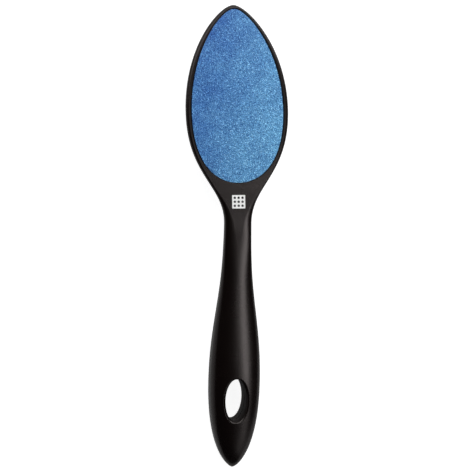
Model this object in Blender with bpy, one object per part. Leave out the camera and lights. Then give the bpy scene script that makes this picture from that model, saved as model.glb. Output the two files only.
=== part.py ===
"""Paddle foot file: a leaf-shaped head with an abrasive sheet on each side, and a hollow
handle with an oval hanging slot. The body is two moulded half shells that meet on one gently
arched parting surface. Metres, +Z up. The tool lies on its back: +Y runs from the handle to
the tip of the head, the origin is at the middle of its footprint, and z is 0 where it rests."""

import math

import bmesh
import bpy
import numpy as np

# Outline seen from above. Distances along the tool are measured from the tip of the head.
LENGTH = 0.250
HEAD_WIDTH = 0.0556
NECK_WIDTH = 0.0145
GRIP_WIDTH = 0.0276
TIP_TO_WIDEST = 0.056
WIDEST_TO_NECK = 0.060
BUTT_LENGTH = 0.047
NOSE_SHARES = (0.25, 0.63)
SHOULDER_SHARES = (0.57, 0.34)
GRIP_SHARES = (0.48, 0.40)
BUTT_SHARES = (0.82, 0.14)

# Side view: an arched head, a bend at the neck and a straight handle that falls away
CREST_TO_NECK = 0.008
HEAD_CAMBER_RADIUS = 0.400
NECK_BEND_RADIUS = 0.150
HANDLE_FALL = math.radians(6.0)
PLATE_THICKNESS = 0.0038
NECK_THICKNESS = 0.0066
GRIP_THICKNESS = 0.0184
# The flat of the head runs on this far past the sheets before the shoulder rises
FLAT_PAST_PAD = 0.0024
SHOULDER_RISE = 0.024
BUTT_ROUNDING = 0.034

# Cross section: a flat face with rounded edges on the head, crowned all over on the handle.
# A profile pair says how the crown falls off across the face and how upright it ends.
EDGE_RUN = 0.0015
CROWN_BLEND = 0.035
CROWN_SHARE = 0.985
EDGE_PROFILE = (2.0, 2.0)
NECK_PROFILE = (2.1, 6.3)
GRIP_PROFILE = (2.0, 3.3)
PROFILE_BLEND = 0.031

# Abrasive sheets, the adhesive film under each and the seats that they lie in
SIDE_RIM = 0.0031
TIP_RIM = 0.0021
PAD_TO_NECK = 0.0220
PAD_NOSE_SHARES = (0.28, 0.60)
PAD_END_SHARES = (0.70, 0.53)
SEAT_DEPTH = 0.0010
SEAT_CLEARANCE = 0.0003
SHEET_THICKNESS = 0.0009
SHEET_CHAMFER = 0.0002
ADHESIVE_THICKNESS = 0.00015
ADHESIVE_SETBACK = 0.0004
LAMINATE_GAP = 0.00005

# Hanging slot: an oval through both shells, with rounded rims and a collar round it inside
SLOT_WIDTH = 0.0117
SLOT_LENGTH = 0.0239
SLOT_TO_BUTT = 0.0381
SLOT_FILLET = 0.0006
COLLAR_WALL = 0.0020

# Inside of the handle
WALL = 0.0026
CAVITY_TO_NECK = 0.008
RIB_THICKNESS = 0.0014
RIB_PITCH = 0.0185
RIBS_BEFORE_SLOT = 4
SEAM_GAP = 0.0002
LIP_INSET = 0.0011
LIP_THICKNESS = 0.0008
LIP_HEIGHT = 0.0010
LIP_CLEARANCE = 0.00015
LIP_TO_NECK = 0.012
PIN_RADIUS = 0.0013
PIN_LENGTH = 0.0026
PIN_TIP_CHAMFER = 0.0004
PIN_CLEARANCE = 0.00015
BOSS_RADIUS = 0.0028

# How far cutters run past what they cut, and how far a joined piece sinks into its carrier
OVERRUN = 0.0015
ROOT = 0.0006
# The first and last section of a rounded end stand this far inside it
END_TRIM = 0.00004

# Facets
BODY_STATIONS = 84
PAD_STATIONS = 44
BAY_STATIONS = 7
EDGE_STEPS = 6
SLOT_POINTS = 40
FILLET_STEPS = 3
PIN_SEGMENTS = 20
CURVE_SAMPLES = 160

FRONT = 1
REAR = -1

NECK_AT = TIP_TO_WIDEST + WIDEST_TO_NECK
GRIP_AT = LENGTH - BUTT_LENGTH
CREST_AT = NECK_AT - CREST_TO_NECK
PAD_END_AT = NECK_AT - PAD_TO_NECK
SHOULDER_AT = PAD_END_AT + FLAT_PAST_PAD
SLOT_AT = LENGTH - SLOT_TO_BUTT
STACK_HEIGHT = 2 * LAMINATE_GAP + ADHESIVE_THICKNESS + SHEET_THICKNESS
SHEET_FACE = PLATE_THICKNESS / 2 - SEAT_DEPTH + STACK_HEIGHT


def ease(value, start, end):
    """0 before start, 1 past end, and a smooth step between them."""
    t = np.clip((value - start) / (end - start), 0, 1)
    return t * t * (3 - 2 * t)


def bezier(start, start_handle, end_handle, end):
    t = np.linspace(0, 1, CURVE_SAMPLES)[:, None]
    points = [np.array(p) for p in (start, start_handle, end_handle, end)]
    return (
        (1 - t) ** 3 * points[0]
        + 3 * t * (1 - t) ** 2 * points[1]
        + 3 * t**2 * (1 - t) * points[2]
        + t**3 * points[3]
    )


class Outline:
    """One side of a shape that is symmetric about the tool's long axis, as distances along
    the tool and half widths there."""

    def __init__(self, points):
        widest = int(np.argmax(points[:, 1]))
        inside = points[:, 1] > 0
        first = widest
        while first > 0 and inside[first - 1]:
            first -= 1
        last = widest
        while last < len(points) - 1 and inside[last + 1]:
            last += 1
        self.points = points[max(first - 1, 0) : last + 2]
        kept = self.points[:, 1]
        self.start = np.interp(0, kept[:2], self.points[:2, 0])
        self.end = np.interp(0, kept[:-3:-1], self.points[:-3:-1, 0])

    def half_width(self, along):
        return np.clip(np.interp(along, self.points[:, 0], self.points[:, 1]), 0, None)

    def grown(self, distance):
        """The parallel outline outside this one, or inside it where distance is negative."""
        tangent = np.gradient(self.points, axis=0)
        tangent /= np.linalg.norm(tangent, axis=1)[:, None]
        normal = np.stack([-tangent[:, 1], tangent[:, 0]], axis=1)
        return Outline(self.points + distance * normal)


def body_outline():
    """Leaf head, slim neck, swelling grip and pointed butt, as four curves that meet
    smoothly where the width is largest or smallest."""
    head, neck, grip = HEAD_WIDTH / 2, NECK_WIDTH / 2, GRIP_WIDTH / 2
    shoulder, handle = NECK_AT - TIP_TO_WIDEST, GRIP_AT - NECK_AT
    nose = bezier(
        (0, 0),
        (0, head * NOSE_SHARES[0]),
        (TIP_TO_WIDEST * (1 - NOSE_SHARES[1]), head),
        (TIP_TO_WIDEST, head),
    )
    flank = bezier(
        (TIP_TO_WIDEST, head),
        (TIP_TO_WIDEST + shoulder * SHOULDER_SHARES[0], head),
        (NECK_AT - shoulder * SHOULDER_SHARES[1], neck),
        (NECK_AT, neck),
    )
    swell = bezier(
        (NECK_AT, neck),
        (NECK_AT + handle * GRIP_SHARES[0], neck),
        (GRIP_AT - handle * GRIP_SHARES[1], grip),
        (GRIP_AT, grip),
    )
    butt = bezier(
        (GRIP_AT, grip),
        (GRIP_AT + BUTT_LENGTH * BUTT_SHARES[0], grip),
        (LENGTH, grip * BUTT_SHARES[1]),
        (LENGTH, 0),
    )
    return Outline(np.vstack([nose, flank[1:], swell[1:], butt[1:]]))


def pad_outline():
    """The abrasive sheet: it follows the head's rim and closes in a full round end."""
    half = HEAD_WIDTH / 2 - SIDE_RIM
    nose_length, end_length = TIP_TO_WIDEST - TIP_RIM, PAD_END_AT - TIP_TO_WIDEST
    nose = bezier(
        (TIP_RIM, 0),
        (TIP_RIM, half * PAD_NOSE_SHARES[0]),
        (TIP_TO_WIDEST - nose_length * PAD_NOSE_SHARES[1], half),
        (TIP_TO_WIDEST, half),
    )
    end = bezier(
        (TIP_TO_WIDEST, half),
        (TIP_TO_WIDEST + end_length * PAD_END_SHARES[0], half),
        (PAD_END_AT, half * PAD_END_SHARES[1]),
        (PAD_END_AT, 0),
    )
    return Outline(np.vstack([nose, end[1:]]))


BODY = body_outline()
PAD = pad_outline()


def rise(along):
    """Height of the body's face over the parting surface on the centre line."""
    plate, neck, grip = PLATE_THICKNESS / 2, NECK_THICKNESS / 2, GRIP_THICKNESS / 2
    full = plate + (neck - plate) * ease(along, SHOULDER_AT, SHOULDER_AT + SHOULDER_RISE)
    full = full + (grip - neck) * ease(along, NECK_AT, GRIP_AT)
    tip = np.clip(1 - along / EDGE_RUN, 0, 1)
    butt = np.clip(1 - (LENGTH - along) / BUTT_ROUNDING, 0, 1)
    return full * np.sqrt(1 - tip**2) * np.sqrt(1 - butt**2)


def crowned(along):
    """How much of the flat head's section has turned into the handle's crowned one."""
    return ease(along, SHOULDER_AT, SHOULDER_AT + CROWN_BLEND)


def edge_run(along):
    """How far the rounded edge or crown reaches in from the outline."""
    half = BODY.half_width(along)
    return np.minimum(half, EDGE_RUN + (half * CROWN_SHARE - EDGE_RUN) * crowned(along))


def profile(along):
    """The pair of exponents of the section's rounding at this distance."""
    grip = ease(along, NECK_AT, NECK_AT + PROFILE_BLEND)
    return [
        edge + (neck + (end - neck) * grip - edge) * crowned(along)
        for edge, neck, end in zip(EDGE_PROFILE, NECK_PROFILE, GRIP_PROFILE)
    ]


def unlevelled_camber(along):
    """Side view of the parting surface, flat at its crest: an arc along the head, and a
    bend that runs out into a straight handle."""
    ahead = np.clip(CREST_AT - along, 0, None)
    behind = np.clip(along - CREST_AT, 0, None)
    bend = NECK_BEND_RADIUS * math.sin(HANDLE_FALL)
    head = np.sqrt(HEAD_CAMBER_RADIUS**2 - ahead**2) - HEAD_CAMBER_RADIUS
    turn = np.sqrt(NECK_BEND_RADIUS**2 - np.minimum(behind, bend) ** 2) - NECK_BEND_RADIUS
    return head + turn - np.clip(behind - bend, 0, None) * math.tan(HANDLE_FALL)


def levelled_camber():
    """The same curve tilted and lowered until the tool rests: the tip of the rear sheet and
    the underside of the grip both touch z = 0."""
    along = np.linspace(0, LENGTH, 8 * CURVE_SAMPLES)
    height = unlevelled_camber(along)
    on_pad = (along >= PAD.start) & (along <= PAD.end)
    depth = np.where(on_pad, SHEET_FACE, rise(along))
    on_head = along < NECK_AT
    for _ in range(6):
        under = height - depth
        head = int(np.argmin(np.where(on_head, under, np.inf)))
        grip = int(np.argmin(np.where(on_head, np.inf, under)))
        tilt = (under[grip] - under[head]) / (along[grip] - along[head])
        height = height - under[head] - tilt * (along - along[head])
    return along, height


CAMBER = levelled_camber()


def camber(along):
    return np.interp(along, *CAMBER)


def parting(along, side):
    """The face on which a half shell ends, half the seam's gap from the parting surface."""
    return camber(along) + side * SEAM_GAP / 2


def face_height(x, along, side):
    """Height of the body's outer face at any place inside its outline."""
    half, run = BODY.half_width(along), edge_run(along)
    reach = np.clip((np.abs(x) - (half - run)) / run, 0, 1)
    across, upright = profile(along)
    return camber(along) + side * rise(along) * (1 - reach**across) ** (1 / upright)


def section(along, half, run, base, height, steps):
    """The right half of a section, from its widest point up to its highest."""
    across, upright = profile(along)
    turns = np.linspace(0, math.pi / 2, steps + 1)
    reach = np.clip(np.cos(turns), 0, 1) ** (2 / across)
    lift = np.sin(turns) ** (2 / upright)
    return [(half - run + run * r, base + height * z) for r, z in zip(reach, lift)]


def stations(start, end, count):
    """Places between start and end that crowd together at both, where ends are round."""
    turn = np.linspace(0, math.pi, count + 1)
    return (start + end) / 2 - (end - start) / 2 * np.cos(turn)


def place(x, along, z):
    return (float(x), float(LENGTH / 2 - along), float(z))


def loft(name, rings):
    """A closed body through rings of equally many points, with a flat cap at each end."""
    bm = bmesh.new()
    loops = [[bm.verts.new(point) for point in ring] for ring in rings]
    for near, far in zip(loops, loops[1:]):
        for i in range(len(near)):
            j = (i + 1) % len(near)
            bm.faces.new((near[i], near[j], far[j], far[i]))
    bm.faces.new(loops[0])
    bm.faces.new(loops[-1])
    bmesh.ops.recalc_face_normals(bm, faces=bm.faces)
    mesh = bpy.data.meshes.new(name)
    bm.to_mesh(mesh)
    bm.free()
    return mesh


def join(name, meshes):
    """Several separate bodies as one mesh."""
    bm = bmesh.new()
    for mesh in meshes:
        bm.from_mesh(mesh)
        bpy.data.meshes.remove(mesh)
    joined = bpy.data.meshes.new(name)
    bm.to_mesh(joined)
    bm.free()
    return joined


def material(name, colour, roughness):
    made = bpy.data.materials.new(name)
    made.use_nodes = True
    shader = made.node_tree.nodes["Principled BSDF"]
    shader.inputs["Base Color"].default_value = (*colour, 1.0)
    shader.inputs["Roughness"].default_value = roughness
    shader.inputs["Metallic"].default_value = 0.0
    made.diffuse_color = (*colour, 1.0)
    return made


def add(name, mesh, finish=None):
    """An object of the model, or a hidden cutter where it has no finish."""
    made = bpy.data.objects.new(name, mesh)
    bpy.context.scene.collection.objects.link(made)
    if finish is None:
        made.display_type = "WIRE"
        made.hide_render = True
        made.hide_set(True)
    else:
        mesh.materials.append(finish)
        mesh.shade_smooth()
        mesh.set_sharp_from_angle(angle=math.radians(35))
    return made


def combine(target, tool, operation):
    modifier = target.modifiers.new(f"{operation.lower()}_{tool.name}", "BOOLEAN")
    modifier.operation = operation
    modifier.solver = "EXACT"
    modifier.object = tool


def plate(name, outline, low, high, count=PAD_STATIONS, chamfer=0.0, start=None, end=None):
    """A sheet with an outline, between two heights that follow the distance along. Its edge
    is chamfered at the height called high."""
    start = outline.start + END_TRIM if start is None else start
    end = outline.end - END_TRIM if end is None else end
    rings = []
    for along in stations(start, end, count):
        half = outline.half_width(along)
        bottom, top = low(along), high(along)
        corners = [(half, bottom), (half, top)]
        if chamfer:
            inset = min(chamfer, half / 2)
            step = math.copysign(chamfer, top - bottom)
            corners = [(half, bottom), (half, top - step), (half - inset, top)]
        left = [(-x, z) for x, z in reversed(corners)]
        rings.append([place(x, along, z) for x, z in corners + left])
    return loft(name, rings)


def from_parting(side, height):
    """A height over the parting surface, on the shell's own side."""
    return lambda along: camber(along) + side * height


def shell_blank(side):
    """The solid half of the body on one side of the parting surface."""
    rings = []
    for along in stations(END_TRIM, LENGTH - END_TRIM, BODY_STATIONS):
        half, run = BODY.half_width(along), edge_run(along)
        base = parting(along, side)
        height = side * (rise(along) - SEAM_GAP / 2)
        right = section(along, half, run, base, height, EDGE_STEPS)
        left = [(-x, z) for x, z in reversed(right)]
        rings.append([place(x, along, z) for x, z in right + left])
    return loft(f"shell_blank_{side}", rings)


def rib_places():
    """Centres of the cross ribs: a row ahead of the slot's collar and one behind it."""
    reach = SLOT_LENGTH / 2 + COLLAR_WALL
    ahead = [SLOT_AT - reach - RIB_PITCH * (i + 0.5) for i in range(RIBS_BEFORE_SLOT)]
    return sorted(ahead) + [SLOT_AT + reach + RIB_PITCH / 2]


def bays():
    """Where each hollow between two ribs starts and ends."""
    inner = BODY.grown(-WALL)
    edges = [NECK_AT + CAVITY_TO_NECK]
    for centre in rib_places():
        edges += [centre - RIB_THICKNESS / 2, centre + RIB_THICKNESS / 2]
    edges.append(inner.end - END_TRIM)
    pairs = zip(edges[::2], edges[1::2])
    return [(start, end) for start, end in pairs if end - start > RIB_THICKNESS]


def bay(side, start, end):
    """One hollow: the body's own section drawn in by the wall, open at the parting face."""
    inner = BODY.grown(-WALL)
    rings = []
    for along in stations(start, end, BAY_STATIONS):
        half = inner.half_width(along)
        run = half * edge_run(along) / BODY.half_width(along)
        base = camber(along)
        height = side * max(rise(along) - WALL, WALL / 4)
        right = [(half, base - side * OVERRUN)]
        right += section(along, half, run, base, height, EDGE_STEPS - 1)
        left = [(-x, z) for x, z in reversed(right)]
        rings.append([place(x, along, z) for x, z in right + left])
    return loft("bay", rings)


def oval(width, length, along, grow=0.0):
    """Points round an oval on the centre line, moved outwards by grow."""
    points = []
    for turn in np.linspace(0, 2 * math.pi, SLOT_POINTS, endpoint=False):
        c, s = math.cos(turn), math.sin(turn)
        normal = np.array([c / width, s / length])
        normal /= np.linalg.norm(normal)
        points.append((width / 2 * c + grow * normal[0], along + length / 2 * s + grow * normal[1]))
    return points


def slot_cutter():
    """The slot with both rims: an oval that flares out along a quarter round where it meets
    the curved faces of the handle."""
    rings = []
    turns = np.linspace(math.pi / 2, 0, FILLET_STEPS + 1)
    flares = [(SLOT_FILLET, -GRIP_THICKNESS / 2)]
    flares += [(SLOT_FILLET * (1 - math.cos(t)), SLOT_FILLET * (1 - math.sin(t))) for t in turns]
    for side, steps in ((FRONT, flares), (REAR, reversed(flares))):
        for flare, sunk in steps:
            ring = oval(SLOT_WIDTH, SLOT_LENGTH, SLOT_AT, flare)
            rings.append([place(x, y, face_height(x, y, side) - side * sunk) for x, y in ring])
    return loft("slot_cutter", rings)


def column(name, radius, along, low, high, chamfer=0.0):
    """An upright round column on the centre line, with a chamfer round its lower end."""
    levels = [(low, radius - chamfer), (low + chamfer, radius)] if chamfer else [(low, radius)]
    levels.append((high, radius))
    turns = np.linspace(0, 2 * math.pi, PIN_SEGMENTS, endpoint=False)
    rings = [
        [place(size * math.cos(t), along + size * math.sin(t), z) for t in turns]
        for z, size in levels
    ]
    return loft(name, rings)


def pin_places():
    """Every second bay ahead of the slot, and the last bay, have a pin at their middle."""
    middles = [(start + end) / 2 for start, end in bays()]
    ahead = [m for m in middles if m < SLOT_AT - SLOT_LENGTH / 2]
    return ahead[1::2] + [m for m in middles[-1:] if m > SLOT_AT + SLOT_LENGTH / 2]


def cavity(side):
    """All the hollows of one shell, less the collar round the slot and the pin bosses."""
    hollow = add(f"cavity_{side}", join("cavity", [bay(side, *ends) for ends in bays()]))
    wide, long = SLOT_WIDTH + 2 * COLLAR_WALL, SLOT_LENGTH + 2 * COLLAR_WALL
    low, high = camber(SLOT_AT) - GRIP_THICKNESS, camber(SLOT_AT) + GRIP_THICKNESS
    collar = [
        [place(x, along, z) for x, along in oval(wide, long, SLOT_AT)] for z in (low, high)
    ]
    combine(hollow, add(f"collar_{side}", loft("collar", collar)), "DIFFERENCE")
    for i, along in enumerate(pin_places()):
        middle = camber(along)
        boss = column("boss", BOSS_RADIUS, along, middle - GRIP_THICKNESS, middle + GRIP_THICKNESS)
        combine(hollow, add(f"boss_{side}_{i}", boss), "DIFFERENCE")
    return hollow


def lip(clearance):
    """A band inside the handle's outline that stands below the parting surface. It is open
    towards the head. With a clearance it is the groove that the band fits."""
    outer = BODY.grown(clearance - LIP_INSET)
    inner = BODY.grown(-clearance - LIP_INSET - LIP_THICKNESS)
    start = NECK_AT - LIP_TO_NECK - clearance
    depth = from_parting(REAR, LIP_HEIGHT + clearance)
    root = from_parting(FRONT, SEAM_GAP / 2 + ROOT)
    name = "groove" if clearance else "lip"
    band = add(name, plate(name, outer, depth, root, BODY_STATIONS // 2, start=start))
    below = from_parting(REAR, LIP_HEIGHT + clearance + OVERRUN)
    above = from_parting(FRONT, SEAM_GAP / 2 + ROOT + OVERRUN)
    core = plate(
        f"{name}_core", inner, below, above, BODY_STATIONS // 2, start=start - OVERRUN
    )
    combine(band, add(f"{name}_core", core), "DIFFERENCE")
    return band


def shell(name, side, slot, finish):
    """One half shell: solid head and neck with a seat for its sheet, and a ribbed hollow
    handle with the slot through it."""
    body = add(name, shell_blank(side), finish)
    seat = plate(
        f"{name}_seat",
        PAD.grown(SEAT_CLEARANCE),
        from_parting(side, PLATE_THICKNESS / 2 - SEAT_DEPTH),
        from_parting(side, PLATE_THICKNESS / 2 + OVERRUN),
    )
    combine(body, add(f"{name}_seat", seat), "DIFFERENCE")
    combine(body, cavity(side), "DIFFERENCE")
    if side == FRONT:
        combine(body, lip(0.0), "UNION")
    else:
        combine(body, lip(LIP_CLEARANCE), "DIFFERENCE")
    for i, along in enumerate(pin_places()):
        middle = camber(along)
        if side == FRONT:
            tip = middle - PIN_LENGTH
            pin = column("pin", PIN_RADIUS, along, tip, middle + ROOT, PIN_TIP_CHAMFER)
            combine(body, add(f"pin_{i}", pin), "UNION")
        else:
            reach = PIN_LENGTH + 2 * PIN_CLEARANCE
            bore = column("bore", PIN_RADIUS + PIN_CLEARANCE, along, middle - reach, middle + ROOT)
            combine(body, add(f"bore_{i}", bore), "DIFFERENCE")
    combine(body, slot, "DIFFERENCE")
    return body


def laminate(prefix, side, film, sheet):
    """An adhesive film and the abrasive sheet that it holds, stacked up from the seat."""
    floor = PLATE_THICKNESS / 2 - SEAT_DEPTH
    film_low = floor + LAMINATE_GAP
    film_high = film_low + ADHESIVE_THICKNESS
    sheet_low = film_high + LAMINATE_GAP
    adhesive = plate(
        f"{prefix}_adhesive",
        PAD.grown(-ADHESIVE_SETBACK),
        from_parting(side, film_low),
        from_parting(side, film_high),
    )
    add(f"{prefix}_adhesive", adhesive, film)
    abrasive = plate(
        f"{prefix}_sheet",
        PAD,
        from_parting(side, sheet_low),
        from_parting(side, sheet_low + SHEET_THICKNESS),
        chamfer=SHEET_CHAMFER,
    )
    add(f"{prefix}_sheet", abrasive, sheet)


def main():
    for old in list(bpy.data.objects):
        bpy.data.objects.remove(old, do_unlink=True)
    black = material("black_plastic", (0.016, 0.014, 0.013), 0.42)
    film = material("clear_adhesive", (0.75, 0.74, 0.68), 0.55)
    coarse = material("coarse_blue_grit", (0.068, 0.225, 0.500), 0.70)
    fine = material("fine_blue_grit", (0.085, 0.260, 0.540), 0.60)
    slot = add("slot_cutter", slot_cutter())
    shell("front_shell", FRONT, slot, black)
    shell("rear_shell", REAR, slot, black)
    laminate("coarse", FRONT, film, coarse)
    laminate("fine", REAR, film, fine)


main()
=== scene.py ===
import math

import bmesh
import bpy
import numpy as np
from mathutils import Matrix, Vector
from mathutils.geometry import delaunay_2d_cdt


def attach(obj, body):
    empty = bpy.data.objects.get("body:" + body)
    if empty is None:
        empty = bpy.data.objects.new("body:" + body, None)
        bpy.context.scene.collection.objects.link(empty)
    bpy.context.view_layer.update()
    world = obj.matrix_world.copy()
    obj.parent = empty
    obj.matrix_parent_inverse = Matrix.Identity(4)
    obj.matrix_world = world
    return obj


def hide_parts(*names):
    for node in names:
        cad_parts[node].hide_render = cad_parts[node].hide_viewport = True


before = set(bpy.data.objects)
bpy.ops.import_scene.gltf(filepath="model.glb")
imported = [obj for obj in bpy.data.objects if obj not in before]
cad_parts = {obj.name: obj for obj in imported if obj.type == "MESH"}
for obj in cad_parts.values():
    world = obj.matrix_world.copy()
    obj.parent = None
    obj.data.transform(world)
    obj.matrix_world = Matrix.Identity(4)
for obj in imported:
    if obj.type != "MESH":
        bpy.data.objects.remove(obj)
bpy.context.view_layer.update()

# All lengths are in metres. The object's outline and sections are those of its solids.
LENGTH = 0.250
HEAD_WIDTH = 0.0556
NECK_WIDTH = 0.0145
GRIP_WIDTH = 0.0276
TIP_TO_WIDEST = 0.056
NECK_AT = 0.116
GRIP_AT = 0.203
NOSE_SHARES = (0.25, 0.63)
SHOULDER_SHARES = (0.57, 0.34)
GRIP_SHARES = (0.48, 0.40)
BUTT_SHARES = (0.82, 0.14)
CREST_AT = 0.108
HEAD_CAMBER_RADIUS = 0.400
NECK_BEND_RADIUS = 0.150
HANDLE_FALL = math.radians(6.0)
PLATE_THICKNESS = 0.0038
NECK_THICKNESS = 0.0066
GRIP_THICKNESS = 0.0184
SHOULDER_AT = 0.0964
SHOULDER_RISE = 0.024
BUTT_ROUNDING = 0.034
EDGE_RUN = 0.0015
CROWN_BLEND = 0.035
CROWN_SHARE = 0.985
EDGE_PROFILE = (2.0, 2.0)
NECK_PROFILE = (2.1, 6.3)
GRIP_PROFILE = (2.0, 3.3)
PROFILE_BLEND = 0.031
SIDE_RIM = 0.0031
TIP_RIM = 0.0021
PAD_END_AT = 0.0940
PAD_NOSE_SHARES = (0.28, 0.60)
PAD_END_SHARES = (0.70, 0.53)
SEAT_DEPTH = 0.0010
SHEET_THICKNESS = 0.0009
SHEET_PROUD = 0.00015
SHEET_FACE = PLATE_THICKNESS / 2 + SHEET_PROUD
SLOT_AT = 0.2119
SLOT_WIDTH = 0.0117
SLOT_LENGTH = 0.0239
SLOT_FILLET = 0.0006

# Finer shape of the moulded shells, which only the scene has
SEAM_GAP = 0.00008
SEAM_EDGE = 0.00014
SEAM_EDGES_IN_HEIGHT = 3
SEAM_EASING = 0.3
SEAT_CLEARANCE = 0.00045
SEAT_FILLET = 0.0003
SLOT_RIM = 0.0013
SLOT_RIM_FLATNESS = 0.6
SLOT_RIM_END_SHARE = 0.35
SLOT_GROOVE = 0.0006
SLOT_GROOVE_FLOOR = SLOT_GROOVE / 8
SHARP_ANGLE = math.radians(38)

# How the shapes are sampled, cut and shaded
CURVE_SAMPLES = 400
CAMBER_SAMPLES = 8 * CURVE_SAMPLES
LEVELLING_ROUNDS = 6
BODY_STATIONS = 340
EDGE_STEPS = 26
SEAT_STATIONS = 220
SEAT_POINTS = 260
SEAT_FILLET_POINTS = 5
SLOT_POINTS = 96
FILLET_STEPS = 8
END_TRIM = 0.00004
OVERRUN = 0.0015
MERGE_WITHIN = 0.0000002
INSIDE_ONLY = 1
PLAN_TOLERANCE = 0.0000001
WALL_FACING = 0.25
SKIN_TOLERANCE = 0.000012
SLOPE_STEP = 0.00002
SKIN_AGREEMENT = math.cos(math.radians(25))

# Abrasive sheets
GRAIN_SPACING = 0.00045
GRAIN_ROW_PITCH = 0.866
GRAIN_SCATTER = 0.3
GRAIN_MARGIN = 0.6
GRAIN_HEIGHTS = (1.6, 1.6)
EDGE_GRAIN_DEPTHS = (0.7, 1.0)
SHEET_EDGE_POINTS = 900
COARSE_DEPTH = 0.00016
FINE_DEPTH = 0.00008
COARSE_SEED = 7
FINE_SEED = 11

# Printed square on the neck
PRINT_AT = 0.1041
PRINT_SIZE = 0.0071
PRINT_CORNER = 0.0003
PRINT_ROOT = -0.00002
PRINT_COAT = 0.00003
PRINT_MARGIN = 0.25
PRINT_SHARP_ANGLE = math.radians(40)
SQUARE_SPACING = 0.0006
CORNER_POINTS = 6
DOTS_ACROSS = 3
DOT_PITCH = 0.0021
DOT_RADIUS = 0.00066
DOT_SPACING = 0.0005
DOT_POINTS = 28

# Materials. A texture is a noise's scale, detail and roughness, and tones run from low to high.
PLAIN_ROUGHNESS = 0.5
PLASTIC_IOR = 1.5
PLASTIC_SPECULAR_TINT = (1.0, 0.905, 0.89)
PLASTIC_TONES = ((0.0020, 0.0009, 0.0008), (0.0032, 0.0015, 0.0013))
PLASTIC_PATCHES = (60.0, 3.0, PLAIN_ROUGHNESS)
SPARK_TEXTURE = (5200.0, 2.0, PLAIN_ROUGHNESS)
SPARK_STRENGTH = 0.25
SPARK_DEPTH = 0.00002
SATIN_GLOSS = (0.24, 0.30)
DULL_GLOSS = (0.50, 0.58)
GRIT_ROUGHNESS = 0.42
GRIT_SPECULAR_LEVEL = 0.28
GRIT_STOPS = (0.0, 0.93, 0.985)
COARSE_GRAIN = 0.00030
COARSE_TONES = ((0.002, 0.042, 0.185), (0.122, 0.345, 0.650), (0.34, 0.70, 0.99))
FINE_GRAIN = 0.00020
FINE_TONES = ((0.030, 0.120, 0.320), (0.120, 0.280, 0.560), (0.28, 0.50, 0.80))
# The grit's coat: random blotches, and painted shade that makes its tone deeper to the left and
# towards the tip and paler to the right
BLOTCH_TEXTURE = (70.0, 4.0, 0.6)
BLOTCH_TEXTURE_WEIGHT = 0.48
PAINTED_SHADE_ACROSS = 7.6
PAINTED_SHADE_TO_TIP = -2.4
BLOTCH_AND_SHADE_OFFSET = 0.445
BLOTCH_AND_SHADE_STOPS = (0.20, 0.80)
BLOTCH_AND_SHADE_TONES = ((0.18, 0.38, 0.72), (1.80, 1.68, 1.38))
INK_ROUGHNESS = 0.45
INK_TEXTURE = (1500.0, 3.0, PLAIN_ROUGHNESS)
WHITE_INK_TONES = ((0.80, 0.80, 0.79), (0.90, 0.90, 0.89))
BLACK_INK_TONES = ((0.010, 0.010, 0.010), (0.020, 0.020, 0.020))
FILM_ROUGHNESS = 0.55
FILM_TEXTURE = (900.0, 2.0, PLAIN_ROUGHNESS)
FILM_TONES = ((0.66, 0.64, 0.57), (0.80, 0.79, 0.73))
FULL_RANGE = (0.0, 1.0)
WHITE = (1.0, 1.0, 1.0)

# Floor and world: what the camera sees of them, and the share of that which gloss mirrors
FLOOR_REACH = 3.0
FLOOR_LEVEL = -0.0002
FLOOR_COLOUR = (0.42, 0.42, 0.42)
FLOOR_ROUGHNESS = 0.9
FLOOR_LIFT = 0.90
FLOOR_MIRRORED_SHARE = 0.144
WORLD_LIGHT = 0.006
WORLD_MIRRORED_SHARE = 0.01

# Softboxes: name, angle across, angle along, width, height and roll in degrees, distance,
# power, and False where gloss doesn't mirror it
LIGHTS = (
    ("main", 25, -11, 12, 30, 25, 1.0, 1.46),
    ("main_top", 18, -4, 8, 18, 0, 1.0, 0.14),
    ("main_head", 11, 13, 12, 20, 0, 1.0, 0.18),
    ("main_side", 38, -30, 12, 24, 0, 1.0, 0.165),
    ("main_low", 30, -44, 16, 18, 0, 1.0, 0.13),
    ("butt_right", 55, -46, 24, 20, 0, 1.0, 0.15),
    ("floor_right", 82, -44, 12, 30, 0, 1.0, 0.22),
    ("left_low", -80, 0, 16, 60, 0, 1.0, 0.35),
    ("head_fill", 8, 57, 108, 50, 0, 2.5, 100.0),
    ("head_even", 8, 57, 108, 50, 0, 2.7, 70.0, False),
)

# Camera: nearly overhead, a little to the left and towards the head
CAMERA_ACROSS = math.radians(-11.0)
CAMERA_ALONG = math.radians(6.0)
CAMERA_DISTANCE = 1.3
CAMERA_LENS = 183.3
CAMERA_SENSOR = 36.0
CAMERA_REACH = 20.0
CAMERA_ROLL = 0.0071
CAMERA_TARGET = (0.00152, 0.00092, 0.010)

FRONT = 1
REAR = -1


def ease(value, start, end):
    """A smooth step from 0 at the start to 1 at the end."""
    t = np.clip((value - start) / (end - start), 0, 1)
    return t * t * (3 - 2 * t)


def bezier(start, start_handle, end_handle, end):
    t = np.linspace(0, 1, CURVE_SAMPLES)[:, None]
    points = [np.array(p) for p in (start, start_handle, end_handle, end)]
    return (
        (1 - t) ** 3 * points[0]
        + 3 * t * (1 - t) ** 2 * points[1]
        + 3 * t**2 * (1 - t) * points[2]
        + t**3 * points[3]
    )


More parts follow.
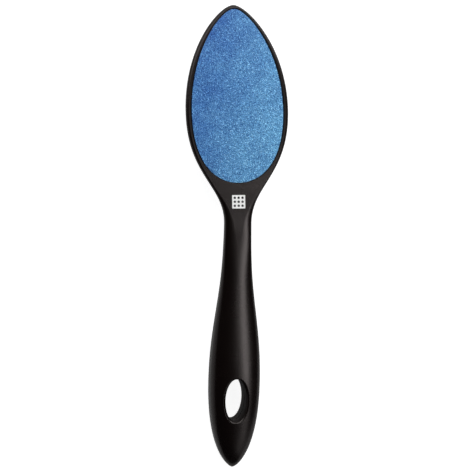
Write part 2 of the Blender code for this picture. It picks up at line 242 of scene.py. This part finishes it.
class Outline:
    """One side of a symmetric shape, as distances from the tool's tip and half widths."""

    def __init__(self, points):
        """Keeps the stretch round the widest point, and one point past each of its ends."""
        widest = int(np.argmax(points[:, 1]))
        first, last = widest, widest
        while first > 0 and points[first - 1, 1] > 0:
            first -= 1
        while last < len(points) - 1 and points[last + 1, 1] > 0:
            last += 1
        self.points = points[max(first - 1, 0) : last + 2]
        kept = self.points[:, 1]
        self.start = np.interp(0, kept[:2], self.points[:2, 0])
        self.end = np.interp(0, kept[:-3:-1], self.points[:-3:-1, 0])

    def half_width(self, along):
        return np.clip(np.interp(along, self.points[:, 0], self.points[:, 1]), 0, None)

    def grown(self, distance):
        tangent = np.gradient(self.points, axis=0)
        tangent /= np.linalg.norm(tangent, axis=1)[:, None]
        normal = np.stack([-tangent[:, 1], tangent[:, 0]], axis=1)
        return Outline(self.points + distance * normal)

    def loop(self, count):
        """Points evenly spaced right round the shape, as (x, distance along)."""
        right = self.points[:, ::-1]
        right = right[right[:, 0] > 0]
        ring = np.vstack([[0, self.start], right, [0, self.end], right[::-1] * [-1, 1]])
        closed = np.vstack([ring, ring[:1]])
        run = np.concatenate([[0], np.cumsum(np.linalg.norm(np.diff(closed, axis=0), axis=1))])
        places = np.linspace(0, run[-1], count, endpoint=False)
        return np.stack([np.interp(places, run, closed[:, i]) for i in (0, 1)], axis=1)


def joined(*curves):
    """An outline through curves that each start where the one before ends."""
    return Outline(np.vstack([curves[0]] + [curve[1:] for curve in curves[1:]]))


def body_outline():
    head, neck, grip = HEAD_WIDTH / 2, NECK_WIDTH / 2, GRIP_WIDTH / 2
    shoulder, handle, butt = NECK_AT - TIP_TO_WIDEST, GRIP_AT - NECK_AT, LENGTH - GRIP_AT
    return joined(
        bezier(
            (0, 0),
            (0, head * NOSE_SHARES[0]),
            (TIP_TO_WIDEST * (1 - NOSE_SHARES[1]), head),
            (TIP_TO_WIDEST, head),
        ),
        bezier(
            (TIP_TO_WIDEST, head),
            (TIP_TO_WIDEST + shoulder * SHOULDER_SHARES[0], head),
            (NECK_AT - shoulder * SHOULDER_SHARES[1], neck),
            (NECK_AT, neck),
        ),
        bezier(
            (NECK_AT, neck),
            (NECK_AT + handle * GRIP_SHARES[0], neck),
            (GRIP_AT - handle * GRIP_SHARES[1], grip),
            (GRIP_AT, grip),
        ),
        bezier(
            (GRIP_AT, grip),
            (GRIP_AT + butt * BUTT_SHARES[0], grip),
            (LENGTH, grip * BUTT_SHARES[1]),
            (LENGTH, 0),
        ),
    )


def pad_outline():
    half = HEAD_WIDTH / 2 - SIDE_RIM
    nose_length, end_length = TIP_TO_WIDEST - TIP_RIM, PAD_END_AT - TIP_TO_WIDEST
    return joined(
        bezier(
            (TIP_RIM, 0),
            (TIP_RIM, half * PAD_NOSE_SHARES[0]),
            (TIP_TO_WIDEST - nose_length * PAD_NOSE_SHARES[1], half),
            (TIP_TO_WIDEST, half),
        ),
        bezier(
            (TIP_TO_WIDEST, half),
            (TIP_TO_WIDEST + end_length * PAD_END_SHARES[0], half),
            (PAD_END_AT, half * PAD_END_SHARES[1]),
            (PAD_END_AT, 0),
        ),
    )


BODY = body_outline()
PAD = pad_outline()


def rise(along):
    """The height of a face's middle line over the parting surface."""
    plate, neck, grip = PLATE_THICKNESS / 2, NECK_THICKNESS / 2, GRIP_THICKNESS / 2
    full = plate + (neck - plate) * ease(along, SHOULDER_AT, SHOULDER_AT + SHOULDER_RISE)
    full = full + (grip - neck) * ease(along, NECK_AT, GRIP_AT)
    tip = np.clip(1 - along / EDGE_RUN, 0, 1)
    butt = np.clip(1 - (LENGTH - along) / BUTT_ROUNDING, 0, 1)
    return full * np.sqrt(1 - tip**2) * np.sqrt(1 - butt**2)


def crowned(along):
    """How much of the flat head's section has turned into the handle's crowned one."""
    return ease(along, SHOULDER_AT, SHOULDER_AT + CROWN_BLEND)


def edge_run(along):
    """The width of the rounding at each side of a section."""
    half = BODY.half_width(along)
    return np.minimum(half, EDGE_RUN + (half * CROWN_SHARE - EDGE_RUN) * crowned(along))


def profile(along):
    """The pair of exponents of the section's rounding."""
    grip = ease(along, NECK_AT, NECK_AT + PROFILE_BLEND)
    return [
        edge + (neck + (end - neck) * grip - edge) * crowned(along)
        for edge, neck, end in zip(EDGE_PROFILE, NECK_PROFILE, GRIP_PROFILE)
    ]


def unlevelled_camber(along):
    """The parting surface's height: an arched head, a bend at the neck, a straight handle."""
    ahead = np.clip(CREST_AT - along, 0, None)
    behind = np.clip(along - CREST_AT, 0, None)
    bend = NECK_BEND_RADIUS * math.sin(HANDLE_FALL)
    head = np.sqrt(HEAD_CAMBER_RADIUS**2 - ahead**2) - HEAD_CAMBER_RADIUS
    turn = np.sqrt(NECK_BEND_RADIUS**2 - np.minimum(behind, bend) ** 2) - NECK_BEND_RADIUS
    return head + turn - np.clip(behind - bend, 0, None) * math.tan(HANDLE_FALL)


def levelled_camber():
    """The same, tilted and lowered until the head and the grip both rest on the ground."""
    along = np.linspace(0, LENGTH, CAMBER_SAMPLES)
    height = unlevelled_camber(along)
    on_pad = (along >= PAD.start) & (along <= PAD.end)
    depth = np.where(on_pad, SHEET_FACE, rise(along))
    on_head = along < NECK_AT
    for _ in range(LEVELLING_ROUNDS):
        under = height - depth
        head = int(np.argmin(np.where(on_head, under, np.inf)))
        grip = int(np.argmin(np.where(on_head, np.inf, under)))
        tilt = (under[grip] - under[head]) / (along[grip] - along[head])
        height = height - under[head] - tilt * (along - along[head])
    return along, height


CAMBER = levelled_camber()


def camber(along):
    return np.interp(along, *CAMBER)


def section(x, along):
    """The height of the section at x, as a share of its full height there."""
    half, run = BODY.half_width(along), edge_run(along)
    reach = np.clip((np.abs(x) - (half - run)) / run, 0, 1)
    across, upright = profile(along)
    return (1 - reach**across) ** (1 / upright)


def face_height(x, along, side):
    return camber(along) + side * rise(along) * section(x, along)


def skin_height(x, along, side):
    """The face as a shell has it, with the seam's gap taken off."""
    gap = SEAM_GAP / 2
    return camber(along) + side * (gap + (rise(along) - gap) * section(x, along))


def stations(start, end, count):
    """Even steps along the middle that shorten towards both round ends."""
    turn = np.linspace(0, math.pi, count + 1)
    crowded = (1 - np.cos(turn)) / 2
    even = turn / math.pi
    share = np.where(even < 0.5, np.minimum(even, 2 * crowded), np.maximum(even, 2 * crowded - 1))
    return start + (end - start) * share


def place(x, along, z):
    """A point of the frame, from its distance along the tool."""
    return (float(x), float(LENGTH / 2 - along), float(z))


def mesh_from(bm, name):
    """A mesh with its faces turned outwards, without points that no face uses."""
    bmesh.ops.recalc_face_normals(bm, faces=bm.faces)
    loose = [v for v in bm.verts if not v.link_faces]
    bmesh.ops.delete(bm, geom=loose, context="VERTS")
    mesh = bpy.data.meshes.new(name)
    bm.to_mesh(mesh)
    bm.free()
    return mesh


def loft(name, rings, closed=False):
    """A body through rings of equally many points: capped at both ends, or closed on itself."""
    bm = bmesh.new()
    loops = [[bm.verts.new(point) for point in ring] for ring in rings]
    pairs = list(zip(loops, loops[1:]))
    if closed:
        pairs.append((loops[-1], loops[0]))
    for near, far in pairs:
        for i in range(len(near)):
            j = (i + 1) % len(near)
            bm.faces.new((near[i], near[j], far[j], far[i]))
    if not closed:
        bm.faces.new(loops[0])
        bm.faces.new(loops[-1])
    return mesh_from(bm, name)


def add(name, mesh):
    made = bpy.data.objects.new(name, mesh)
    bpy.context.scene.collection.objects.link(made)
    return made


def cut(target, tool_mesh):
    """Takes a cutter's shape out of a piece, and removes the cutter."""
    tool = add("cutter", tool_mesh)
    modifier = target.modifiers.new("cut", "BOOLEAN")
    modifier.operation = "DIFFERENCE"
    modifier.solver = "EXACT"
    modifier.object = tool
    bpy.context.view_layer.update()
    graph = bpy.context.evaluated_depsgraph_get()
    result = bpy.data.meshes.new_from_object(target.evaluated_get(graph))
    old = target.data
    target.modifiers.clear()
    target.data = result
    bpy.data.objects.remove(tool)
    bpy.data.meshes.remove(old)
    bpy.data.meshes.remove(tool_mesh)


def merge_doubles(mesh):
    """Joins the points that the cuts leave on top of each other."""
    bm = bmesh.new()
    bm.from_mesh(mesh)
    bmesh.ops.remove_doubles(bm, verts=bm.verts, dist=MERGE_WITHIN)
    bmesh.ops.dissolve_degenerate(bm, edges=bm.edges, dist=MERGE_WITHIN)
    bm.to_mesh(mesh)
    bm.free()


def shell_blank(side):
    """The outer skin of one half, with its parting edge eased so that the seam shows as a
    fine groove."""
    rings = []
    for along in stations(END_TRIM, LENGTH - END_TRIM, BODY_STATIONS):
        half, run = BODY.half_width(along), edge_run(along)
        base = camber(along) + side * SEAM_GAP / 2
        height = max(float(rise(along)) - SEAM_GAP / 2, SEAM_GAP)
        edge = min(SEAM_EDGE, height / SEAM_EDGES_IN_HEIGHT)
        across, upright = profile(along)
        first = math.asin((edge / height) ** (upright / 2))
        turns = np.linspace(first, math.pi / 2, EDGE_STEPS + 1)
        reach = np.clip(np.cos(turns), 0, 1) ** (2 / across)
        lift = np.sin(turns) ** (2 / upright)
        inset = min(edge, half / 2)
        right = [
            (half - inset, base),
            (half - inset * SEAM_EASING, base + side * edge * SEAM_EASING),
        ]
        right += [(half - run + run * r, base + side * height * z) for r, z in zip(reach, lift)]
        left = [(-x, z) for x, z in reversed(right)]
        rings.append([place(x, along, z) for x, z in right + left])
    return loft("shell", rings)


def seat_cutter(side):
    """The shallow recess under a sheet. Its floor follows the camber."""
    outline = PAD.grown(SEAT_CLEARANCE)
    floor = side * (PLATE_THICKNESS / 2 - SEAT_DEPTH)
    top = side * (PLATE_THICKNESS / 2 + OVERRUN)
    rings = []
    for along in stations(outline.start + END_TRIM, outline.end - END_TRIM, SEAT_STATIONS):
        half, middle = outline.half_width(along), camber(along)
        corners = [(half, middle + floor), (half, middle + top)]
        corners += [(-x, z) for x, z in reversed(corners)]
        rings.append([place(x, along, z) for x, z in corners])
    return loft("seat", rings)


def seat_edge_cutter(side):
    """The rounding of the rim's inner edge, swept along the seat's outline."""
    turns = np.linspace(0, math.pi / 2, SEAT_FILLET_POINTS)
    inner, over = -SEAT_CLEARANCE / 2, -OVERRUN / 2
    steps = [(inner, SEAT_FILLET)]
    steps += [(SEAT_FILLET * (1 - math.cos(t)), SEAT_FILLET * (1 - math.sin(t))) for t in turns]
    steps += [(SEAT_FILLET, over), (inner, over)]
    columns = [PAD.grown(SEAT_CLEARANCE + offset).loop(SEAT_POINTS) for offset, _ in steps]
    rings = []
    for i in range(SEAT_POINTS):
        ring = []
        for column, (_, sunk) in zip(columns, steps):
            x, along = column[i]
            ring.append(place(x, along, face_height(x, along, side) - side * sunk))
        rings.append(ring)
    return loft("seat_edge", rings, closed=True)


def oval(grow, sunk=0, end_share=1.0):
    """The slot's outline, grown, and how deep each point lies. At its two ends only a share
    of both is used."""
    points = []
    for turn in np.linspace(0, 2 * math.pi, SLOT_POINTS, endpoint=False):
        c, s = math.cos(turn), math.sin(turn)
        normal = np.array([c / SLOT_WIDTH, s / SLOT_LENGTH])
        normal /= np.linalg.norm(normal)
        share = end_share + (1 - end_share) * abs(normal[0])
        across = SLOT_WIDTH / 2 * c + share * grow * normal[0]
        along = SLOT_AT + SLOT_LENGTH / 2 * s + share * grow * normal[1]
        points.append((across, along, share * sunk))
    return points


def slot_cutter():
    """The hanging slot: both rims are eased where it meets the curved faces, the front one
    flatter than round, and a groove follows the parting line round its wall."""
    rings = []
    turns = np.linspace(0, math.pi / 2, FILLET_STEPS + 1)
    for side, rim, flatness, end_share in (
        (FRONT, SLOT_RIM, SLOT_RIM_FLATNESS, SLOT_RIM_END_SHARE),
        (REAR, SLOT_FILLET, 0, 1.0),
    ):
        steps = [(rim, -GRIP_THICKNESS)]
        for t in turns:
            round_step = np.array([1 - math.sin(t), 1 - math.cos(t)])
            straight_step = np.array([1 - t / turns[-1], t / turns[-1]])
            steps.append(rim * (round_step + flatness * (straight_step - round_step)))
        half = []
        for flare, sunk in steps:
            ring = oval(flare, sunk, end_share)
            half.append([place(x, y, face_height(x, y, side) - side * z) for x, y, z in ring])
        for flare, off in ((0, SLOT_GROOVE), (SLOT_GROOVE, SLOT_GROOVE_FLOOR)):
            half.append([place(x, y, camber(y) + side * off) for x, y, _ in oval(flare)])
        rings += half if side == FRONT else half[::-1]
    return loft("slot_cutter", rings)


def shell(name, side, node, finish, wall_finish):
    """One moulded half. The slot's wall has a duller finish."""
    piece = add(name, shell_blank(side))
    cut(piece, seat_cutter(side))
    cut(piece, seat_edge_cutter(side))
    cut(piece, slot_cutter())
    merge_doubles(piece.data)
    piece.data.materials.clear()
    piece.data.materials.append(finish)
    piece.data.materials.append(wall_finish)
    half_axes = (SLOT_WIDTH / 2 + SLOT_GROOVE, SLOT_LENGTH / 2 + SLOT_GROOVE)
    for face in piece.data.polygons:
        x, y, _ = face.center
        inside = math.hypot(x / half_axes[0], (LENGTH / 2 - y - SLOT_AT) / half_axes[1]) < 1
        upright = abs(face.normal.z) < WALL_FACING
        face.material_index = 1 if inside and upright else 0
    piece.data.shade_smooth()
    piece.data.set_sharp_from_angle(angle=SHARP_ANGLE)
    shade_skin(piece.data, side)
    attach(piece, "root")
    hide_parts(node)
    return piece


def shade_skin(mesh, side):
    """Gives the outer skin the normals of its true slope, so that the cuts in it leave no
    marks in its gloss."""
    points = np.empty(3 * len(mesh.vertices))
    mesh.vertices.foreach_get("co", points)
    x, y, z = points.reshape(-1, 3).T
    along = LENGTH / 2 - y
    on_skin = np.abs(skin_height(x, along, side) - z) < SKIN_TOLERANCE
    rises = [
        skin_height(x + dx, along - dy, side) - skin_height(x - dx, along + dy, side)
        for dx, dy in ((SLOPE_STEP, 0), (0, SLOPE_STEP))
    ]
    slopes = np.stack([-rises[0], -rises[1], np.full(len(x), 2 * SLOPE_STEP)], axis=1)
    slopes *= side / np.linalg.norm(slopes, axis=1)[:, None]
    corners = np.empty(3 * len(mesh.loops))
    mesh.corner_normals.foreach_get("vector", corners)
    corners = corners.reshape(-1, 3)
    for face in mesh.polygons:
        if on_skin[list(face.vertices)].all():
            for corner, vertex in zip(face.loop_indices, face.vertices):
                if slopes[vertex].dot(face.normal) > SKIN_AGREEMENT:
                    corners[corner] = slopes[vertex]
    mesh.normals_split_custom_set(corners.tolist())


def grain_places(spacing, rng):
    """Points in staggered rows inside the sheet's outline, each moved a little at random."""
    inner = PAD.grown(-spacing * GRAIN_MARGIN)
    rows = []
    along = inner.start + spacing / 2
    odd = False
    while along < inner.end:
        half = float(inner.half_width(along))
        count = int(half / spacing)
        xs = (np.arange(-count, count + 1) + (0.5 if odd else 0.0)) * spacing
        xs = xs[np.abs(xs) < half]
        rows.append(np.stack([xs, np.full(len(xs), along)], axis=1))
        odd = not odd
        along += spacing * GRAIN_ROW_PITCH
    grains = np.vstack(rows)
    return grains + rng.uniform(-GRAIN_SCATTER, GRAIN_SCATTER, grains.shape) * spacing


def triangulated(edge, inner):
    """The points and triangles of a plan, with an edge loop that comes first."""
    plan = [Vector(p) for p in np.vstack([edge, inner])]
    loops = [list(range(len(edge)))]
    result = delaunay_2d_cdt(plan, [], loops, INSIDE_ONLY, PLAN_TOLERANCE, False)
    points, _, faces = result[:3]
    return np.array([tuple(p) for p in points]), faces


def grit_sheet(name, side, node, finish, depth, seed):
    """An abrasive sheet: a dense face of uneven grains over a plain backing. No grain stands
    over the sheet's nominal face."""
    rng = np.random.default_rng(seed)
    edge = PAD.loop(SHEET_EDGE_POINTS)
    plan, faces = triangulated(edge, grain_places(GRAIN_SPACING, rng))
    heights = SHEET_FACE - depth * rng.beta(*GRAIN_HEIGHTS, len(plan))
    heights[: len(edge)] = SHEET_FACE - depth * rng.uniform(*EDGE_GRAIN_DEPTHS, len(edge))
    top = camber(plan[:, 1]) + side * heights
    base = SHEET_FACE - SHEET_THICKNESS
    bm = bmesh.new()
    upper = [bm.verts.new(place(x, along, z)) for (x, along), z in zip(plan, top)]
    for face in faces:
        bm.faces.new([upper[i] for i in face])
    lower = [
        bm.verts.new(place(x, along, camber(along) + side * base))
        for x, along in plan[: len(edge)]
    ]
    for i in range(len(edge)):
        j = (i + 1) % len(edge)
        bm.faces.new((upper[i], upper[j], lower[j], lower[i]))
    for i in range(len(edge) // 2):
        across = [lower[j % len(edge)] for j in (i, i + 1, -i - 1, -i)]
        distinct = list(dict.fromkeys(across))
        if len(distinct) >= 3:
            bm.faces.new(distinct)
    mesh = mesh_from(bm, name)
    mesh.materials.append(finish)
    piece = add(name, mesh)
    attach(piece, "root")
    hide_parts(node)
    return piece


def printed(name, outlines, spacing, low, high, finish):
    """Thin bodies of ink that follow the front face between two heights over it."""
    bm = bmesh.new()
    for outline in outlines:
        corners = np.array(outline)
        lowest, highest = corners.min(axis=0), corners.max(axis=0)
        axes = [np.arange(a + spacing / 2, b, spacing) for a, b in zip(lowest, highest)]
        inner = np.stack(np.meshgrid(*axes), axis=-1).reshape(-1, 2)
        sides = np.roll(corners, -1, axis=0) - corners
        sides /= np.linalg.norm(sides, axis=1)[:, None]
        apart = inner[:, None] - corners
        depth = sides[:, 0] * apart[:, :, 1] - sides[:, 1] * apart[:, :, 0]
        inner = inner[depth.min(axis=1) > spacing * PRINT_MARGIN]
        points, faces = triangulated(corners, inner)
        upper, lower = (
            [bm.verts.new(place(x, y, face_height(x, y, FRONT) + offset)) for x, y in points]
            for offset in (high, low)
        )
        for face in faces:
            bm.faces.new([upper[i] for i in face])
            bm.faces.new([lower[i] for i in reversed(face)])
        for i in range(len(corners)):
            j = (i + 1) % len(corners)
            bm.faces.new((upper[j], upper[i], lower[i], lower[j]))
    mesh = mesh_from(bm, name)
    mesh.materials.append(finish)
    mesh.shade_smooth()
    mesh.set_sharp_from_angle(angle=PRINT_SHARP_ANGLE)
    piece = add(name, mesh)
    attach(piece, "root")
    return piece


def arc(centre, radius, start, end, count):
    turns = np.linspace(start, end, count)
    return [(centre[0] + radius * math.cos(t), centre[1] + radius * math.sin(t)) for t in turns]


def print_mark():
    """A plain white square with a grid of black dots, where the tool has its printing."""
    middle, quarter = PRINT_SIZE / 2 - PRINT_CORNER, math.pi / 2
    square = []
    for i, (sx, sy) in enumerate(((1, 1), (-1, 1), (-1, -1), (1, -1))):
        centre = (sx * middle, PRINT_AT + sy * middle)
        square += arc(centre, PRINT_CORNER, i * quarter, (i + 1) * quarter, CORNER_POINTS)
    white = ink_material("white_ink", WHITE_INK_TONES)
    printed(
        "print_square", [square], SQUARE_SPACING, PRINT_ROOT, PRINT_COAT, white
    )
    steps = (np.arange(DOTS_ACROSS) - (DOTS_ACROSS - 1) / 2) * DOT_PITCH
    last_turn = 2 * math.pi * (1 - 1 / DOT_POINTS)
    dots = [
        arc((x, PRINT_AT + y), DOT_RADIUS, 0, last_turn, DOT_POINTS) for x in steps for y in steps
    ]
    black = ink_material("black_ink", BLACK_INK_TONES)
    printed(
        "print_dots", dots, DOT_SPACING, PRINT_COAT / 2, 2 * PRINT_COAT, black
    )


def new_material(name, roughness=None):
    """A material, with its tree and its shader."""
    made = bpy.data.materials.new(name)
    made.use_nodes = True
    shader = made.node_tree.nodes["Principled BSDF"]
    if roughness is not None:
        shader.inputs["Roughness"].default_value = roughness
    return made, made.node_tree, shader


def new_node(tree, kind, values=(), **settings):
    """A node with its settings, and then its inputs' values."""
    node = tree.nodes.new(kind)
    for setting, value in settings.items():
        setattr(node, setting, value)
    for name, value in dict(values).items():
        node.inputs[name].default_value = value
    return node


def object_place(tree):
    """The place of a point on the object."""
    return new_node(tree, "ShaderNodeTexCoord").outputs["Object"]


def noise(tree, where, texture):
    scale, detail, roughness = texture
    values = {"Scale": scale, "Detail": detail, "Roughness": roughness}
    node = new_node(tree, "ShaderNodeTexNoise", values)
    tree.links.new(where, node.inputs["Vector"])
    return node.outputs["Fac"]


def tone_ramp(tree, factor, stops, tones):
    """A colour that goes through the tones at their stops."""
    node = new_node(tree, "ShaderNodeValToRGB")
    elements = node.color_ramp.elements
    for i in (0, 1):
        elements[i].position = stops[i]
    for stop in stops[2:]:
        elements.new(stop)
    for element, tone in zip(elements, tones):
        element.color = (*tone, 1.0)
    tree.links.new(factor, node.inputs["Fac"])
    return node.outputs["Color"]


def weighted_sum(tree, terms, offset):
    """The sum of outputs, each times its weight, and an offset."""
    total = None
    for output, weight in terms:
        part = new_node(tree, "ShaderNodeMath", {1: weight, 2: offset}, operation="MULTIPLY_ADD")
        tree.links.new(output, part.inputs[0])
        if total is not None:
            tree.links.new(total, part.inputs[2])
        total = part.outputs[0]
    return total


def plastic_material(name, gloss_range):
    """Black moulded plastic: a fine spark-eroded texture, and slight unevenness in its
    gloss."""
    made, tree, shader = new_material(name)
    shader.inputs["IOR"].default_value = PLASTIC_IOR
    shader.inputs["Specular Tint"].default_value = (*PLASTIC_SPECULAR_TINT, 1.0)
    where = object_place(tree)
    patches = noise(tree, where, PLASTIC_PATCHES)
    sparks = noise(tree, where, SPARK_TEXTURE)
    glossiest, dullest = gloss_range
    gloss = new_node(tree, "ShaderNodeMapRange", {"To Min": glossiest, "To Max": dullest})
    dark, pale = ((*tone, 1.0) for tone in PLASTIC_TONES)
    tint = new_node(tree, "ShaderNodeMix", {"A": dark, "B": pale}, data_type="RGBA")
    relief = {"Strength": SPARK_STRENGTH, "Distance": SPARK_DEPTH}
    bump = new_node(tree, "ShaderNodeBump", relief)
    tree.links.new(patches, gloss.inputs["Value"])
    tree.links.new(gloss.outputs["Result"], shader.inputs["Roughness"])
    tree.links.new(patches, tint.inputs["Factor"])
    tree.links.new(tint.outputs["Result"], shader.inputs["Base Color"])
    tree.links.new(sparks, bump.inputs["Height"])
    tree.links.new(bump.outputs["Normal"], shader.inputs["Normal"])
    return made


def grit_material(name, tones, grain):
    """Blue resin-bonded grit: each grain has its own tone, some flash pale, and the coat's tone,
    between a deep violet blue and a paler greener blue, varies in random blotches and carries
    painted shade: deeper to the left and towards the tip, paler to the right and towards the
    neck."""
    made, tree, shader = new_material(name, GRIT_ROUGHNESS)
    shader.inputs["Specular IOR Level"].default_value = GRIT_SPECULAR_LEVEL
    where = object_place(tree)
    cells = new_node(tree, "ShaderNodeTexVoronoi", {"Scale": 1 / grain})
    chance = new_node(tree, "ShaderNodeSeparateColor")
    apart = new_node(tree, "ShaderNodeSeparateXYZ")
    tree.links.new(where, cells.inputs["Vector"])
    tree.links.new(cells.outputs["Color"], chance.inputs["Color"])
    tree.links.new(where, apart.inputs["Vector"])
    grains = tone_ramp(tree, chance.outputs["Red"], GRIT_STOPS, tones)
    # Painted shade: the coat's tone falls to the left and towards the tip and rises to the right,
    # on top of the random blotches
    terms = (
        (noise(tree, where, BLOTCH_TEXTURE), BLOTCH_TEXTURE_WEIGHT),
        (apart.outputs["X"], PAINTED_SHADE_ACROSS),
        (apart.outputs["Y"], PAINTED_SHADE_TO_TIP),
    )
    blotches_and_shade = tone_ramp(tree, weighted_sum(tree, terms, BLOTCH_AND_SHADE_OFFSET), BLOTCH_AND_SHADE_STOPS, BLOTCH_AND_SHADE_TONES)
    coat = new_node(
        tree, "ShaderNodeMix", {"Factor": 1.0}, data_type="RGBA", blend_type="MULTIPLY"
    )
    tree.links.new(grains, coat.inputs["A"])
    tree.links.new(blotches_and_shade, coat.inputs["B"])
    tree.links.new(coat.outputs["Result"], shader.inputs["Base Color"])
    return made


def patchy_material(name, roughness, texture, tones):
    """A flat coat whose tone varies a little."""
    made, tree, shader = new_material(name, roughness)
    patches = noise(tree, object_place(tree), texture)
    tree.links.new(tone_ramp(tree, patches, FULL_RANGE, tones), shader.inputs["Base Color"])
    return made


def ink_material(name, tones):
    return patchy_material(name, INK_ROUGHNESS, INK_TEXTURE, tones)


def seen_share(tree, strength, mirrored_share, offset=0.0):
    """A strength for what the camera sees directly or through glass, a share of it for what
    gloss mirrors, and an offset for every ray."""
    path = new_node(tree, "ShaderNodeLightPath")
    terms = (
        (path.outputs["Is Camera Ray"], strength),
        (path.outputs["Is Transmission Ray"], strength),
        (path.outputs["Is Glossy Ray"], mirrored_share * strength),
    )
    return weighted_sum(tree, terms, offset)


def floor_material():
    """A pale sheet. The camera sees it lighter than it is lit, so that it is white away
    from the object and keeps a soft shadow, and reflections and the slot show some of
    that too."""
    made, tree, shader = new_material("white_paper", FLOOR_ROUGHNESS)
    shader.inputs["Base Color"].default_value = (*FLOOR_COLOUR, 1.0)
    shader.inputs["Specular IOR Level"].default_value = 0.0
    shader.inputs["Emission Color"].default_value = (*WHITE, 1.0)
    lift = seen_share(tree, FLOOR_LIFT, FLOOR_MIRRORED_SHARE)
    tree.links.new(lift, shader.inputs["Emission Strength"])
    return made


def stand(made, target, across, along, roll, distance):
    """Puts a lamp or camera where it looks at a point from two angles as the object sees
    them."""
    back = Vector(
        (
            math.sin(across) * math.cos(along),
            math.sin(along),
            math.cos(across) * math.cos(along),
        )
    )
    side = Vector((0, 1, 0)).cross(back).normalized()
    turn = Matrix((side, back.cross(side), back)).transposed() @ Matrix.Rotation(roll, 3, "Z")
    made.matrix_world = Matrix.Translation(Vector(target) + back * distance) @ turn.to_4x4()
    bpy.context.scene.collection.objects.link(made)


def softbox(name, across, along, width, height, roll, distance, power, mirrored=True):
    """A rectangle that faces the object, placed and sized by its angles in degrees as the
    object sees them. One that isn't mirrored adds no highlight."""
    data = bpy.data.lights.new(name, "AREA")
    data.shape = "RECTANGLE"
    data.size = 2 * distance * math.tan(math.radians(width / 2))
    data.size_y = 2 * distance * math.tan(math.radians(height / 2))
    data.energy = power
    light = bpy.data.objects.new(name, data)
    light.visible_glossy = mirrored
    angles = [math.radians(angle) for angle in (across, along, roll)]
    stand(light, (0, 0, 0), *angles, distance)


def lay_floor():
    corners = [
        (x * FLOOR_REACH, y * FLOOR_REACH, FLOOR_LEVEL)
        for x, y in ((-1, -1), (1, -1), (1, 1), (-1, 1))
    ]
    mesh = bpy.data.meshes.new("floor")
    mesh.from_pydata(corners, [], [(0, 1, 2, 3)])
    mesh.materials.append(floor_material())
    floor = add("floor", mesh)


def set_world():
    world = bpy.data.worlds.new("studio")
    world.use_nodes = True
    background = world.node_tree.nodes["Background"]
    background.inputs["Color"].default_value = (*WHITE, 1.0)
    strength = seen_share(world.node_tree, 1.0, WORLD_MIRRORED_SHARE, WORLD_LIGHT)
    world.node_tree.links.new(strength, background.inputs["Strength"])
    bpy.context.scene.world = world


def set_camera():
    data = bpy.data.cameras.new("camera")
    data.lens = CAMERA_LENS
    data.sensor_width = CAMERA_SENSOR
    data.clip_end = CAMERA_REACH
    made = bpy.data.objects.new("camera", data)
    stand(made, CAMERA_TARGET, CAMERA_ACROSS, CAMERA_ALONG, CAMERA_ROLL, CAMERA_DISTANCE)
    bpy.context.scene.camera = made


def main():
    plastic = plastic_material("satin_black_plastic", SATIN_GLOSS)
    wall = plastic_material("dull_black_plastic", DULL_GLOSS)
    shell("front_body", FRONT, "front_shell", plastic, wall)
    shell("rear_body", REAR, "rear_shell", plastic, wall)
    coarse = grit_material("coarse_grit", COARSE_TONES, COARSE_GRAIN)
    fine = grit_material("fine_grit", FINE_TONES, FINE_GRAIN)
    grit_sheet(
        "coarse_face", FRONT, "coarse_sheet", coarse, COARSE_DEPTH, COARSE_SEED
    )
    grit_sheet("fine_face", REAR, "fine_sheet", fine, FINE_DEPTH, FINE_SEED)
    print_mark()
    film = patchy_material("transfer_adhesive", FILM_ROUGHNESS, FILM_TEXTURE, FILM_TONES)
    for name in ("coarse_adhesive", "fine_adhesive"):
        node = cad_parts[name]
        node.data.materials.clear()
        node.data.materials.append(film)
    lay_floor()
    for light in LIGHTS:
        softbox(*light)
    set_world()
    set_camera()
    bpy.context.scene.view_settings.view_transform = "Standard"


main()
